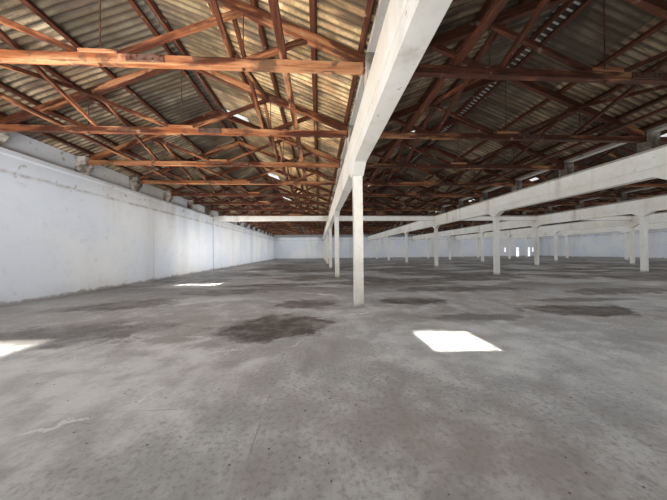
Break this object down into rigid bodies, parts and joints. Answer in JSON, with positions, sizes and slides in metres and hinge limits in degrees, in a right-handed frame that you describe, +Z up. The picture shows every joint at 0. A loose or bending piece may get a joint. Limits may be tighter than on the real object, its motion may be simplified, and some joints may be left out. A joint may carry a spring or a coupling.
{
  "type": "factory hall building, scale model at 1:2",
  "caption": "Single-storey factory hall with naves side by side: timber trusses with iron rods on concrete valley beams and columns, under corrugated gable roofs.",
  "frame": {"origin": "on the ground, under the middle of the hall", "axes": "+X across the naves, +Y along the naves to the rear wall, +Z up"},
  "size_m": [31.02, 28.45, 3.882],
  "materials": {
    "floor_concrete": "worn, dusty and stained dark",
    "painted_plaster": "old white paint with dirt and damp",
    "painted_concrete": "old white paint, chipped at the arrises",
    "roof_timber": "sawn and weathered to orange brown",
    "iron_rod": "dark with rust",
    "fibre_cement": "weathered corrugated sheet",
    "translucent_sheet": "dull corrugated sheet that lets light in"
  },
  "bodies": {
    "root": {"floor_slab": "floor_concrete", "left_wall": "painted_plaster", "right_wall": "painted_plaster", "front_wall": "painted_plaster", "rear_wall": "painted_plaster", "left_ring_beam": "painted_plaster", "right_ring_beam": "painted_plaster", "left_wall_piers": "painted_plaster", "right_wall_piers": "painted_plaster", "front_gables": "painted_plaster", "rear_gables": "painted_plaster", "columns_row_1": "painted_concrete", "columns_row_2": "painted_concrete", "columns_row_3": "painted_concrete", "columns_row_4": "painted_concrete", "columns_row_5": "painted_concrete", "valley_beam_1": "painted_concrete", "valley_beam_2": "painted_concrete", "valley_beam_3": "painted_concrete", "valley_beam_4": "painted_concrete", "valley_beam_5": "painted_concrete", "cross_beam": "painted_concrete", "beam_blocks": "painted_concrete", "wall_blocks": "painted_concrete", "valley_gutters": "fibre_cement", "tie_beams": "roof_timber", "splice_boards": "roof_timber", "rafters": "roof_timber", "struts": "roof_timber", "king_bolsters": "roof_timber", "tie_rods": "iron_rod", "binders": "roof_timber", "sway_braces": "roof_timber", "eaves_purlins": "roof_timber", "slope_purlins": "roof_timber", "ridge_purlins": "roof_timber", "nave_1_roof": "fibre_cement", "nave_2_roof": "fibre_cement", "nave_3_roof": "fibre_cement", "nave_4_roof": "fibre_cement", "nave_5_roof": "fibre_cement", "nave_6_roof": "fibre_cement", "skylight_sheets": "translucent_sheet", "ridge_caps": "fibre_cement"}
  },
  "joints": []
}
